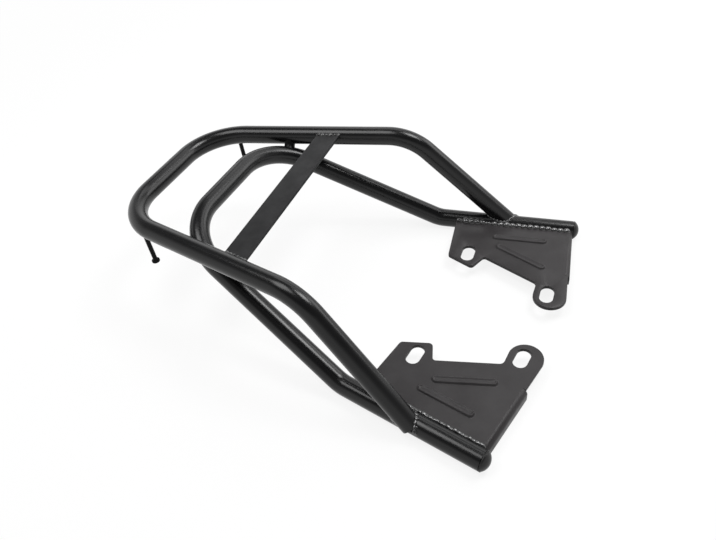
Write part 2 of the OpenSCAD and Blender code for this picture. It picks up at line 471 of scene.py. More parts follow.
@dataclass(frozen=True)
class Coat:
    """A sprayed and baked finish: colour, gloss and the fine texture of its skin.

    Peel and grain are each a number of waves to a metre and a depth in millimetres.
    """

    name: str
    slot: str
    colour: Triple
    patch_colour: Triple
    roughness: float
    roughness_spread: float
    gloss: float
    peel: Pair
    grain: Pair
    patch_per_m: float = 28.0

    # Each noise's octaves of finer noise and how strong they are.
    PATCH_NOISE = (4.0, 0.55)
    RUB_NOISE = (5.0, 0.6)
    PEEL_NOISE = (2.0, 0.5)
    GRAIN_NOISE = (3.0, 0.6)
    # The part of a noise's range that a change of colour or gloss runs over.
    PATCH_SPAN = (0.35, 0.68)
    RUB_SPAN = (0.3, 0.7)
    RUBS_PER_PATCH = 3.1

    def material(self) -> bpy.types.Material:
        """Build the coat's node material.

        Returns:
            The material, on Object coordinates.
        """
        coat = bpy.data.materials.new(self.name)
        coat.use_nodes = True
        bench = NodeBench(coat)
        place = bench.add("TexCoord").outputs["Object"]
        patch = bench.noise(place, self.patch_per_m, *self.PATCH_NOISE)
        share = bench.ramp(patch, self.PATCH_SPAN, (0.0, 1.0))
        colour = bench.add("Mix", {"A": (*self.colour, 1.0), "B": (*self.patch_colour, 1.0), "Factor": share},
                           data_type="RGBA")
        rub = bench.noise(place, self.patch_per_m * self.RUBS_PER_PATCH, *self.RUB_NOISE)
        ends = (self.roughness - self.roughness_spread, self.roughness + self.roughness_spread)
        (peel_per_m, peel_depth), (grain_per_m, grain_depth) = self.peel, self.grain
        soft = bench.bump(bench.noise(place, peel_per_m, *self.PEEL_NOISE), peel_depth)
        fine = bench.bump(bench.noise(place, grain_per_m, *self.GRAIN_NOISE), grain_depth, soft)
        bench.feed(coat.node_tree.nodes["Principled BSDF"], {
            "Base Color": colour.outputs["Result"], "Specular IOR Level": self.gloss,
            "Roughness": bench.ramp(rub, self.RUB_SPAN, ends), "Normal": fine})
        return coat


TUBE_COAT = Coat(
    "tube_black_coat", "tube_coat", colour=(0.003, 0.003, 0.0034), patch_colour=(0.0055, 0.0055, 0.0059),
    roughness=0.24, roughness_spread=0.02, gloss=0.36, peel=(300.0, 0.0015), grain=(2600.0, 0.0005))
STRAP_COAT = Coat(
    "strap_black_coat", "strap_coat", colour=(0.011, 0.011, 0.0117), patch_colour=(0.02, 0.02, 0.0208),
    roughness=0.46, roughness_spread=0.06, gloss=0.14, peel=(350.0, 0.03), grain=(2200.0, 0.012),
    patch_per_m=60.0)
PLATE_COAT = Coat(
    "plate_grey_black_coat", "plate_coat", colour=(0.0235, 0.0213, 0.0223),
    patch_colour=(0.034, 0.0316, 0.0327), roughness=0.42, roughness_spread=0.05, gloss=0.24,
    peel=(300.0, 0.02), grain=(2400.0, 0.012), patch_per_m=34.0)
POST_COAT = Coat(
    "post_black_coat", "post_coat", colour=(0.003, 0.003, 0.0032), patch_colour=(0.005, 0.005, 0.0052),
    roughness=0.34, roughness_spread=0.05, gloss=0.1, peel=(420.0, 0.02), grain=(2600.0, 0.004))
WELD_COAT = Coat(
    "weld_black_coat", "weld_coat", colour=(0.009, 0.009, 0.0094), patch_colour=(0.022, 0.022, 0.0226),
    roughness=0.22, roughness_spread=0.12, gloss=1.0, peel=(520.0, 0.08), grain=(2400.0, 0.015),
    patch_per_m=26.0)
CAP_PLASTIC = Coat(
    "cap_black_plastic", "cap_plastic", colour=(0.011, 0.011, 0.011), patch_colour=(0.017, 0.017, 0.017),
    roughness=0.36, roughness_spread=0.04, gloss=0.3, peel=(500.0, 0.008), grain=(3000.0, 0.003))


def dress(piece: Piece, coat: Coat, *nodes: str) -> None:
    """Coat a piece, let it ride on the rack and stand for its CAD nodes.

    Args:
        piece: The finished piece.
        coat: Its finish, which knows the record's material slot.
        *nodes: The CAD nodes it stands for.
    """
    piece.data.materials.clear()
    piece.data.materials.append(bpy.data.materials.get(coat.name) or coat.material())
    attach(piece, "root")
    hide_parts(*nodes)
    LOG.info("%s: %d faces", piece.name, len(piece.data.polygons))


# Layout


@dataclass(frozen=True)
class Bend:
    """One bend of a tube axis: where it starts, its centre, its axis and its turn."""

    start: Vector
    centre: Vector
    axis: Vector
    turn: float

    def at(self, angle: float) -> Vector:
        """Give the place on the bend that lies an angle past its start."""
        return self.centre + Matrix.Rotation(angle, 3, self.axis) @ (self.start - self.centre)


def bend_at(before: Vector, corner: Vector, after: Vector, radius: float) -> Bend:
    """Lay a bend into the corner of a path.

    Args:
        before: The point before the corner.
        corner: The corner point.
        after: The point after the corner.
        radius: The bend radius in millimetres.

    Returns:
        The bend.
    """
    inward, outward = (corner - before).normalized(), (after - corner).normalized()
    turn = inward.angle(outward)
    start = corner - inward * radius * math.tan(turn / 2)
    axis = inward.cross(outward).normalized()
    return Bend(start, start + radius * axis.cross(inward), axis, turn)


@dataclass(frozen=True)
class RackLayout:
    """The rack's sizes in millimetres and the places that follow from them."""

    tube_d: float = 19.0
    skin_gap: float = 0.02
    tube_wall: float = 1.5
    front_y: float = -0.0196
    loop_length: float = 394.0
    loop_bend_back: float = 171.0
    loop_land_back: float = 65.5
    loop_land_out: float = 3.0
    loop_rear_half: float = 77.5
    loop_front_half: float = 122.5
    loop_rear_h: float = 82.5
    loop_front_h: float = 97.5
    loop_corner_r: float = 56.0
    loop_front_r: float = 56.0
    lower_length: float = 320.0
    lower_bend_back: float = 140.0
    lower_rear_half: float = 79.4327
    lower_bend_half: float = 124.0
    lower_front_half: float = 151.0
    lower_rear_h: float = 85.0
    lower_corner_r: float = 61.0
    lower_bend_r: float = 30.0
    plate_lift: float = 2.0

    @property
    def splay(self) -> float:
        """Angle of the level tubes from straight ahead."""
        return math.atan((self.lower_front_half - self.lower_bend_half) / self.lower_bend_back)

    @property
    def up_rear(self) -> Vector:
        """Axis corner of the upper loop at the rear right."""
        return vec(self.loop_rear_half, self.front_y - self.loop_length, self.loop_rear_h)

    @property
    def up_front(self) -> Vector:
        """Axis corner of the upper loop at its right front bend."""
        return vec(self.loop_front_half, self.front_y - self.loop_bend_back, self.loop_front_h)

    @property
    def up_land(self) -> Vector:
        """Where the right upper rail lands on the lower tube."""
        x = self.lower_front_half - self.loop_land_back * math.tan(self.splay) + self.loop_land_out
        return vec(x, self.front_y - self.loop_land_back, -self.plate_lift)

    @property
    def low_rear(self) -> Vector:
        """Axis corner of the lower loop at the rear right."""
        return vec(self.lower_rear_half, self.front_y - self.lower_length, self.lower_rear_h)

    @property
    def low_bend(self) -> Vector:
        """Axis corner of the right lower tube at its shallow bend."""
        return vec(self.lower_bend_half, self.front_y - self.lower_bend_back, -self.plate_lift)

    @property
    def low_front(self) -> Vector:
        """Front end of the right lower tube's axis."""
        return vec(self.lower_front_half, self.front_y, -self.plate_lift)

    @property
    def deck_slope(self) -> float:
        """Slope of the upper rails."""
        return math.atan2(self.up_front.z - self.up_rear.z, self.up_front.y - self.up_rear.y)

    @property
    def deck_run(self) -> float:
        """Length of the sloping deck along its slope."""
        return (self.loop_length - self.loop_bend_back) / math.cos(self.deck_slope)

    @property
    def rail_splay(self) -> float:
        """How much wider the rails get for each millimetre along the deck."""
        return (self.loop_front_half - self.loop_rear_half) / self.deck_run

    def deck(self) -> Matrix:
        """Give the deck's frame: X right, Y forward along the rails, Z square to the deck."""
        origin = vec(0, self.up_rear.y, self.up_rear.z)
        return Matrix.Translation(origin) @ Matrix.Rotation(self.deck_slope, 4, "X")

    def plate(self) -> Matrix:
        """Give the right plate's frame: X inward from the tube, Y back from its front end."""
        origin = vec(self.lower_front_half, self.front_y, 0)
        return Matrix.Translation(origin) @ Matrix.Rotation(math.pi - self.splay, 4, "Z")

    def rear_bend(self) -> Bend:
        """Give the upper loop's right rear bend."""
        return self._rear(self.up_rear, self.up_front, self.loop_corner_r)

    def low_rear_bend(self) -> Bend:
        """Give the lower loop's right rear bend."""
        return self._rear(self.low_rear, self.low_bend, self.lower_corner_r)

    @staticmethod
    def _rear(corner: Vector, after: Vector, radius: float) -> Bend:
        """Give the right rear bend of a loop that runs straight across behind."""
        return bend_at(vec(-corner.x, corner.y, corner.z), corner, after, radius)


# Tubes


@dataclass
class TubeLoop:
    """A round tube bent along a path that mirrors left to right."""

    right_points: Sequence[Vector]
    right_radii: Sequence[float]
    tube_d: float
    wall: float
    sides: int = 72
    bend_step: float = math.radians(2.5)
    fewest_steps: int = 4
    shade_deg: float = 35.0

    def path(self) -> list[Vector]:
        """Give the axis points from the left front end round to the right one."""
        left = [vec(-p.x, p.y, p.z) for p in reversed(self.right_points)]
        return left + list(self.right_points)

    def radii(self) -> list[float]:
        """Give the bend radius at each point of the path."""
        return list(reversed(self.right_radii)) + list(self.right_radii)

    def shell(self, name: str, run_out: float = 0.0) -> Piece:
        """Run a ring along the path, straight by straight and bend by bend.

        Args:
            name: The shell's name.
            run_out: How far the ends run past the path, in millimetres.

        Returns:
            The open tube skin, faces outwards.
        """
        path, radii = self.path(), self.radii()
        first = (path[1] - path[0]).normalized()
        here = path[0] - first * run_out
        skin = start_piece(name, bpy.ops.mesh.primitive_circle_add, vertices=self.sides,
                           radius=self.tube_d / 2 * MM, location=metres(here),
                           rotation=stand_along(first).to_euler())
        open_mesh(skin, Mesh.VERTS)
        pick_all()
        for before, corner, after, radius in zip(path, path[1:], path[2:], radii[1:]):
            bend = bend_at(before, corner, after, radius)
            extrude(bend.start - here)
            steps = max(self.fewest_steps, round(bend.turn / self.bend_step))
            bpy.ops.mesh.spin(steps=steps, angle=-bend.turn, center=metres(bend.centre), axis=bend.axis)
            here = bend.at(bend.turn)
        extrude(path[-1] + (path[-1] - path[-2]).normalized() * run_out - here)
        mend()
        close_mesh()
        face = skin.data.polygons[0]
        if face.normal.dot(across(face.center - metres(path[0]), first)) < 0:
            skin.data.flip_normals()
        return skin

    def solid(self, name: str, run_out: float = 0.0) -> Piece:
        """Give the tube as a solid bar, for coping what meets it.

        Args:
            name: The bar's name.
            run_out: How far the ends run past the path, in millimetres.

        Returns:
            The closed bar.
        """
        bar = self.shell(name, run_out)
        open_mesh(bar, Mesh.EDGES)
        bpy.ops.mesh.select_non_manifold(extend=False)
        bpy.ops.mesh.fill_holes(sides=0)
        close_mesh()
        face_out(bar)
        return bar

    def tube(self, name: str, cope: Piece | None = None) -> Piece:
        """Give the tube with its wall, coped where it meets another.

        Args:
            name: The tube's name.
            cope: A solid bar that is cut out of it.

        Returns:
            The walled tube.
        """
        skin = self.shell(name)
        finish_modifier(skin, "SOLIDIFY", thickness=self.wall * MM, offset=-1.0, use_rim=True)
        if cope is not None:
            cut(skin, cope)
        smooth(skin, self.shade_deg)
        return skin


# Mounting plates


@dataclass
class MountingPlate:
    """A folded sheet plate with a square rear ear, a round front ear, slots and ribs.

    The crown and the groove of a rib are insets of its face: how far in, and how far up or down.
    """

    layout: RackLayout
    sheet_t: float = 3.5
    back: float = 122.4
    front: float = 2.0
    inner_start: float = 7.8
    flange_reach: float = 1.4
    rear_ear: Pair = (65.5, 122.4)
    rear_tip: Pair = (79.6, 96.3)
    notch: Pair = (62.4, 86.0)
    root: Pair = (92.0, 31.4)
    ear_corner_r: float = 4.0
    notch_r: float = 3.0
    root_r: float = 5.0
    front_ear: Pair = (108.5, 17.8)
    front_ear_r: float = 15.8
    slot_w: float = 13.0
    slot_l: float = 22.5
    slot_lean: float = math.radians(5.5)
    rear_slot: Pair = (59.7, 102.7)
    front_slot: Pair = (106.4, 20.5)
    ribs: tuple[tuple[Pair, Pair], ...] = (((45.5, 71.9), (69.0, 28.5)), ((30.6, 77.2), (30.1, 29.6)))
    rib_half: float = 5.0
    rib_reach: float = 0.3
    rib_rise: Sequence[Pair] = (
        (0.45, 0.05), (0.4, 0.16), (0.3, 0.33), (0.25, 0.42), (0.25, 0.38), (0.3, 0.3), (0.35, 0.1),
        (0.35, -0.08), (0.45, -0.24), (0.5, -0.26), (0.5, -0.14), (0.5, -0.04))
    groove_half: float = 2.8
    groove_sink: Sequence[Pair] = ((0.05, 0.7), (0.3, 0.6), (0.5, 0.4), (0.7, 0.2), (0.8, 0.1))
    fold_r: float = 5.0
    fold_steps: int = 10
    flange_depth: float = 12.5
    flange_in: float = 77.0
    edge_r: float = 0.4
    edge_deg: float = 55.0
    shade_deg: float = 42.0
    corner_steps: int = 8
    inner_corner_steps: int = 6
    ear_steps: int = 40
    rib_end_steps: int = 14
    slot_end_steps: int = 22

    @staticmethod
    def _arc(centre: Vector, start: float, end: float, radius: float, steps: int) -> list[Vector]:
        """Give the points of an arc in the sheet's plane."""
        return [centre + radius * Vector((math.cos(a), math.sin(a)))
                for a in (start + (end - start) * k / steps for k in range(steps + 1))]

    def _corner(self, before: Vector, corner: Vector, after: Vector, radius: float,
                steps: int) -> list[Vector]:
        """Round one corner of the outline.

        Args:
            before: The point before the corner.
            corner: The corner point.
            after: The point after the corner.
            radius: The corner's radius.
            steps: How many edges the arc has.

        Returns:
            The arc's points.
        """
        to, away = (before - corner).normalized(), (after - corner).normalized()
        half = to.angle(away) / 2
        centre = corner + (to + away).normalized() * radius / math.sin(half)
        first, last = corner + to * radius / math.tan(half), corner + away * radius / math.tan(half)
        a, b = (math.atan2((p - centre).y, (p - centre).x) for p in (first, last))
        turn = (b - a + math.pi) % (2 * math.pi) - math.pi
        return self._arc(centre, a, a + turn, radius, steps)

    def outline(self) -> list[Vector]:
        """Give the flat sheet's outline, from the fold line round to the rear edge.

        Returns:
            The outline's points in the sheet's plane.
        """
        ear, tip, notch, root = (Vector(p) for p in (self.rear_ear, self.rear_tip, self.notch, self.root))
        round_ear = Vector(self.front_ear)
        splay = self.layout.splay
        side = round_ear + self.front_ear_r * Vector((-math.sin(splay), math.cos(splay)))
        rear_start = Vector((self.inner_start, self.back))
        points = [Vector((self.inner_start, self.fold_r)), Vector((self.flange_in, self.fold_r)),
                  Vector((self.flange_in, self.front))]
        points += self._arc(round_ear, -math.pi / 2, math.pi / 2 + splay, self.front_ear_r, self.ear_steps)
        points += self._corner(side, root, notch, self.root_r, self.inner_corner_steps)
        points += self._corner(root, notch, tip, self.notch_r, self.inner_corner_steps)
        points += self._corner(notch, tip, ear, self.ear_corner_r, self.corner_steps)
        points += self._corner(tip, ear, rear_start, self.ear_corner_r, self.corner_steps)
        return [*points, rear_start]

    def _stadium(self, a: Vector, b: Vector, half: float, steps: int) -> list[Vector]:
        """Give a round-ended outline round the line from a to b.

        Args:
            a: The line's start.
            b: The line's end.
            half: Half the outline's width.
            steps: How many edges each end has.

        Returns:
            The outline's points.
        """
        along = math.atan2((b - a).y, (b - a).x)
        return (self._arc(b, along - math.pi / 2, along + math.pi / 2, half, steps)
                + self._arc(a, along + math.pi / 2, along + 1.5 * math.pi, half, steps))

    def slots(self) -> list[list[Vector]]:
        """Give the two slots' outlines.

        Returns:
            The rear slot's points and the front slot's.
        """
        lean = self.layout.splay - self.slot_lean
        run = (self.slot_l - self.slot_w) / 2 * Vector((math.cos(lean), math.sin(lean)))
        return [self._stadium(Vector(c) - run, Vector(c) + run, self.slot_w / 2, self.slot_end_steps)
                for c in (self.rear_slot, self.front_slot)]

    def build(self, name: str) -> Piece:
        """Cut, fold and press the right plate.

        Args:
            name: The plate's name.

        Returns:
            The finished plate.
        """
        sheet = self._blank(name)
        self._fold(sheet)
        finish_modifier(sheet, "SOLIDIFY", thickness=self.sheet_t * MM, offset=-1.0, use_rim=True,
                        use_even_offset=True)
        face_out(sheet)
        finish_modifier(sheet, "BEVEL", width=self.edge_r * MM, segments=3, limit_method="ANGLE",
                        angle_limit=math.radians(self.edge_deg), use_clamp_overlap=False, loop_slide=False)
        for rib in self.ribs:
            self._press(sheet, rib)
        set_place(sheet, in_metres(self.layout.plate()))
        smooth(sheet, self.shade_deg)
        open_mesh(sheet)
        pick(sheet, Mesh.FACES, lambda f: abs(f.normal.z) > LEVEL)
        bpy.ops.mesh.set_normals_from_faces(keep_sharp=False)
        close_mesh()
        return sheet

    def _blank(self, name: str) -> Piece:
        """Lay out the flat sheet with its slots, and a face where each rib is pressed.

        Args:
            name: The sheet's name.

        Returns:
            The sheet's top surface.
        """
        drawing = bpy.data.curves.new(name, "CURVE")
        drawing.dimensions = "2D"
        drawing.fill_mode = "BOTH"
        ribs = [self._stadium(Vector(a), Vector(b), self.rib_half, self.rib_end_steps) for a, b in self.ribs]
        for loop in [self.outline(), *self.slots(), *ribs]:
            line = drawing.splines.new("POLY")
            line.points.add(len(loop) - 1)
            for point, place in zip(line.points, loop):
                point.co = (place.x * MM, place.y * MM, self.sheet_t * MM, 1.0)
            line.use_cyclic_u = True
        blank = bpy.data.objects.new(name, drawing)
        bpy.context.scene.collection.objects.link(blank)
        take(blank)
        bpy.ops.object.convert(target="MESH")
        blank = bpy.context.object
        open_mesh(blank)
        pick_all()
        bpy.ops.mesh.remove_doubles(threshold=ON_LINE_M)
        bpy.ops.mesh.beautify_fill(angle_limit=math.pi)
        for rib in self.ribs:
            near = self._near_rib(rib)
            pick(blank, Mesh.EDGES, lambda e: e.is_boundary and all(near(v.co) for v in e.verts))
            bpy.ops.mesh.edge_face_add()
        pick_all()
        bpy.ops.mesh.normals_make_consistent(inside=False)
        close_mesh()
        face_up(blank)
        return name_piece(blank, name)

    def _near_rib(self, rib: tuple[Pair, Pair]) -> Callable[[Vector], bool]:
        """Give a test for points of the sheet that lie on a rib or on its outline.

        Args:
            rib: The two ends of the rib's centre line.

        Returns:
            The test, given a place in metres.
        """
        a, b = Vector(rib[0]), Vector(rib[1])

        def near(place: Vector) -> bool:
            """Say whether a place in metres lies on the rib."""
            p = Vector((place.x, place.y)) / MM
            share = max(0.0, min(1.0, (p - a).dot(b - a) / (b - a).length_squared))
            return (p - a - (b - a) * share).length <= self.rib_half + self.rib_reach

        return near

    def _fold(self, sheet: Piece) -> None:
        """Fold the front flange down: a quarter turn, then a straight drop.

        Args:
            sheet: The flat sheet.
        """
        open_mesh(sheet, Mesh.EDGES)
        line = self.fold_r * MM
        pick(sheet, Mesh.EDGES, lambda e: e.is_boundary and all(
            abs(v.co.y - line) < ON_LINE_M and v.co.x < (self.flange_in + SLACK) * MM for v in e.verts))
        bpy.ops.mesh.spin(steps=self.fold_steps, angle=-math.pi / 2, axis=(1, 0, 0),
                          center=(0, line, (self.sheet_t - self.fold_r) * MM))
        extrude(vec(0, 0, self.fold_r - self.flange_depth))
        foot = (self.sheet_t - self.flange_depth) * MM
        pick(sheet, Mesh.VERTS, lambda v: abs(v.co.z - foot) < ON_LINE_M
             and v.co.x < (self.inner_start + SLACK) * MM)
        bpy.ops.transform.translate(value=(-self.flange_reach * MM, 0, 0))
        mend()
        close_mesh()
        face_up(sheet)

    def _press(self, sheet: Piece, rib: tuple[Pair, Pair]) -> None:
        """Press one rib: a crown on the top face and a groove in the underside.

        Args:
            sheet: The folded sheet.
            rib: The two ends of the rib's centre line.
        """
        near = self._near_rib(rib)
        groove = [(self.rib_half - self.groove_half, 0.0)]
        groove += [(inward, -sink) for inward, sink in self.groove_sink]
        open_mesh(sheet)
        for height, steps in ((self.sheet_t * MM, self.rib_rise), (0.0, groove)):
            pick(sheet, Mesh.FACES, lambda f: abs(f.calc_center_median().z - height) < AT_HEIGHT_M
                 and all(near(v.co) for v in f.verts))
            bpy.ops.mesh.dissolve_faces()
            inset(steps)
        close_mesh()


# Strap, posts, spacers and caps


@dataclass
class CrossStrap:
    """The flat bar across the deck, its ends coped to the rails."""

    layout: RackLayout
    width: float = 24.5
    sheet_t: float = 3.0
    back: float = 249.0
    rise: float = 5.5
    skew: float = math.radians(2.8)
    edge_r: float = 0.6
    half_lengths: int = 5
    shade_deg: float = 35.0
    flat_weight: int = 60

    @property
    def along(self) -> float:
        """Place of the strap's centre line along the deck."""
        return (self.layout.loop_length - self.back) / math.cos(self.layout.deck_slope)

    @property
    def half(self) -> float:
        """Half length, to the rail axes."""
        return self.layout.loop_rear_half + self.layout.rail_splay * self.along

    def build(self, name: str, rail: Piece) -> Piece:
        """Make the bar, skew it, round its edges and cope its ends.

        Args:
            name: The strap's name.
            rail: The solid upper loop.

        Returns:
            The finished strap.
        """
        bar = start_piece(name, bpy.ops.mesh.primitive_cube_add, size=1.0)
        bar.scale = (2 * self.half * MM, self.width * MM / math.cos(self.skew), self.sheet_t * MM)
        apply_place(bar)
        open_mesh(bar)
        slide = math.tan(self.skew) * self.half * MM
        for sign in (1, -1):
            pick(bar, Mesh.FACES, lambda f: f.normal.x * sign > FACING)
            bpy.ops.transform.translate(value=(0, sign * slide, 0))
        pick(bar, Mesh.EDGES, lambda e: abs((e.verts[0].co - e.verts[1].co).x) > self.half * MM)
        bpy.ops.mesh.bevel(offset=self.edge_r * MM, segments=4, profile=0.5)
        for k in range(1 - self.half_lengths, self.half_lengths):
            slice_across((k * self.half * MM / self.half_lengths, 0, 0), (1, 0, 0))
        close_mesh()
        middle = Matrix.Translation((0, self.along, self.rise - self.sheet_t / 2))
        set_place(bar, in_metres(self.layout.deck() @ middle))
        cut(bar, rail)
        smooth(bar, self.shade_deg)
        finish_modifier(bar, "WEIGHTED_NORMAL", keep_sharp=True, weight=self.flat_weight)
        return bar


@dataclass
class HookPost:
    """A thin round post under a rear corner, with a flanged head for a cord."""

    layout: RackLayout
    rod_d: float = 4.5
    drop: float = 42.0
    head_d: float = 8.0
    head_t: float = 2.0
    arc: float = math.radians(12)
    out: float = 3.0
    sides: int = 40
    edge_r: float = 0.35
    edge_deg: float = 50.0
    shade_deg: float = 40.0

    def place(self) -> Vector:
        """Give the post's place in the deck frame.

        Returns:
            The place in millimetres.
        """
        turn = self.layout.rear_bend().turn
        radius = self.layout.loop_corner_r
        reach, angle = radius + self.out, turn - self.arc
        return vec(self.layout.loop_rear_half - radius * math.tan(turn / 2) + reach * math.sin(angle),
                   radius - reach * math.cos(angle), 0)

    def build(self, name: str, tube: Piece) -> Piece:
        """Turn the post from a short rod: neck, head and broken edges.

        Args:
            name: The post's name.
            tube: The solid upper loop that it is welded under.

        Returns:
            The finished post.
        """
        rod = start_piece(name, bpy.ops.mesh.primitive_cylinder_add, vertices=self.sides,
                          radius=self.rod_d / 2 * MM, depth=self.drop * MM,
                          location=(0, 0, -self.drop / 2 * MM))
        open_mesh(rod)
        foot = -self.drop * MM
        neck = foot + self.head_t * MM
        slice_across((0, 0, neck), UP)
        pick(rod, Mesh.FACES, lambda f: abs(f.normal.z) < UPRIGHT and f.calc_center_median().z < neck)
        bpy.ops.mesh.extrude_region_shrink_fatten(
            TRANSFORM_OT_shrink_fatten={"value": (self.head_d - self.rod_d) / 2 * MM})
        pick(rod, Mesh.FACES, lambda f: f.normal.z < -FACING and f.calc_center_median().z < (foot + neck) / 2)
        bpy.ops.mesh.dissolve_faces()
        close_mesh()
        finish_modifier(rod, "BEVEL", width=self.edge_r * MM, segments=3, limit_method="ANGLE",
                        angle_limit=math.radians(self.edge_deg))
        set_place(rod, in_metres(self.layout.deck() @ Matrix.Translation(self.place())))
        cut(rod, tube)
        smooth(rod, self.shade_deg)
        return rod


@dataclass
class LoopSpacer:
    """A short rod that ties an upper rail to the lower loop, with weld fillets at its ends.

    The three flare places are heights past a tube's skin: where the fillet starts, where it
    widens by flare_neck, and where it has its full width inside the tube.
    """

    layout: RackLayout
    rod_d: float = 11.2
    arc: float = math.radians(56)
    flare: float = 1.2
    flare_neck: float = 0.42
    flare_start: float = -0.6
    flare_middle: float = 1.2
    flare_end: float = 3.0
    sides: int = 48
    shade_deg: float = 40.0

    def ends(self) -> tuple[Vector, Vector]:
        """Give the two axis points that the rod runs between.

        Returns:
            The point on the upper rail and the one on the lower loop.
        """
        lay = self.layout
        foot = lay.low_rear_bend().at(self.arc)
        rail = (lay.up_front - lay.up_rear).normalized()
        return lay.up_rear + rail * (foot - lay.up_rear).dot(rail), foot

    def _widen(self, rod: Piece, extra: float, wanted: Callable[..., bool]) -> None:
        """Widen some rings of the open rod.

        Args:
            rod: The rod, open in edit mode.
            extra: How much is added to its radius, in millimetres.
            wanted: The test that picks the rings' points.
        """
        wide = (self.rod_d + 2 * extra) / self.rod_d
        pick(rod, Mesh.VERTS, wanted)
        bpy.ops.transform.resize(value=(wide, wide, 1.0), center_override=(0, 0, 0))

    def build(self, name: str, rail: Piece, loop: Piece) -> Piece:
        """Make the rod, flare its welded ends and cope them to both tubes.

        Args:
            name: The spacer's name.
            rail: The solid upper loop.
            loop: The solid lower loop.

        Returns:
            The finished spacer.
        """
        top, foot = self.ends()
        run = foot - top
        rod = start_piece(name, bpy.ops.mesh.primitive_cylinder_add, vertices=self.sides,
                          radius=self.rod_d / 2 * MM, depth=run.length * MM)
        open_mesh(rod)
        skin = run.length / 2 - self.layout.tube_d / 2
        for level in (self.flare_end, self.flare_middle, self.flare_start):
            for sign in (1, -1):
                slice_across((0, 0, sign * (skin + level) * MM), UP)
        deep = (skin + (self.flare_middle + self.flare_end) / 2) * MM
        waist = (skin + self.flare_middle) * MM
        self._widen(rod, self.flare, lambda v: abs(v.co.z) > deep)
        self._widen(rod, self.flare_neck, lambda v: abs(abs(v.co.z) - waist) < AT_HEIGHT_M)
        close_mesh()
        set_place(rod, Matrix.Translation(metres((top + foot) / 2)) @ stand_along(run))
        cut(rod, rail)
        cut(rod, loop)
        smooth(rod, self.shade_deg)
        return rod


@dataclass
class EndCap:
    """A moulded cap with a ribbed plug, a rim and a low dome."""

    layout: RackLayout
    rim_t: float = 1.5
    dome: float = 4.5
    dome_in: float = 0.45
    dome_share: float = 0.985
    plug: float = 12.0
    plug_gap: float = 0.3
    plug_hollow_in: float = 2.2
    plug_floor: float = 1.2
    lead_in: Pair = (0.6, 1.4)
    groove_deep: float = 1.0
    groove_wide: float = 0.6
    edge: Pair = (0.25, 0.2)
    crease: float = 0.1
    dome_steps: int = 8
    sides: int = 64
    shade_deg: float = 38.0

    def profile(self) -> list[Pair]:
        """Give the lathe profile.

        Returns:
            Radius and height of each point, from the plug's inside to the dome's top.
        """
        rim_r = self.layout.tube_d / 2
        bore_r = rim_r - self.layout.tube_wall
        dome_r, neck_r = rim_r - self.dome_in, rim_r - self.groove_deep
        plug_r, hollow_r = bore_r - self.plug_gap, bore_r - self.plug_hollow_in
        wide, high = self.edge
        points = [
            (0.0, -self.plug_floor), (hollow_r, -self.plug_floor), (hollow_r, -self.plug),
            (plug_r - self.lead_in[0], -self.plug), (plug_r, -self.plug + self.lead_in[1]),
            (plug_r, -self.plug_gap), (neck_r, 0.0), (neck_r, self.groove_wide),
            (rim_r - wide, self.groove_wide), (rim_r, self.groove_wide + high), (rim_r, self.rim_t - wide),
            (rim_r - high, self.rim_t - 0.5 * self.crease),
            (dome_r - self.crease, self.rim_t - 1.5 * self.crease)]
        ball = (dome_r ** 2 + self.dome ** 2) / (2 * self.dome)
        for k in range(self.dome_steps + 1):
            angle = math.asin(dome_r * self.dome_share / ball) * (1 - k / self.dome_steps)
            points.append((ball * math.sin(angle), self.rim_t + self.dome - ball * (1 - math.cos(angle))))
        return points

    def build(self, name: str) -> Piece:
        """Draw the profile point by point and spin it round the tube's axis.

        Args:
            name: The cap's name.

        Returns:
            The right cap, in place.
        """
        cap = start_piece(name, bpy.ops.mesh.primitive_circle_add, vertices=3, radius=MM)
        open_mesh(cap, Mesh.VERTS)
        pick(cap, Mesh.VERTS, lambda v: v.index > 0)
        bpy.ops.mesh.delete(type="VERT")
        pick(cap, Mesh.VERTS, lambda v: True)
        here, *others = [vec(radius, 0, height) for radius, height in self.profile()]
        start = next(iter(bmesh.from_edit_mesh(cap.data).verts)).co
        bpy.ops.transform.translate(value=metres(here) - start)
        for there in others:
            extrude(there - here)
            here = there
        pick_all()
        bpy.ops.mesh.spin(steps=self.sides, angle=2 * math.pi, center=(0, 0, 0), axis=UP)
        mend(2 * ON_LINE_M)
        close_mesh()
        forward = vec(math.sin(self.layout.splay), math.cos(self.layout.splay), 0)
        set_place(cap, Matrix.Translation(metres(self.layout.low_front)) @ stand_along(forward))
        smooth(cap, self.shade_deg)
        return cap


# Weld beads


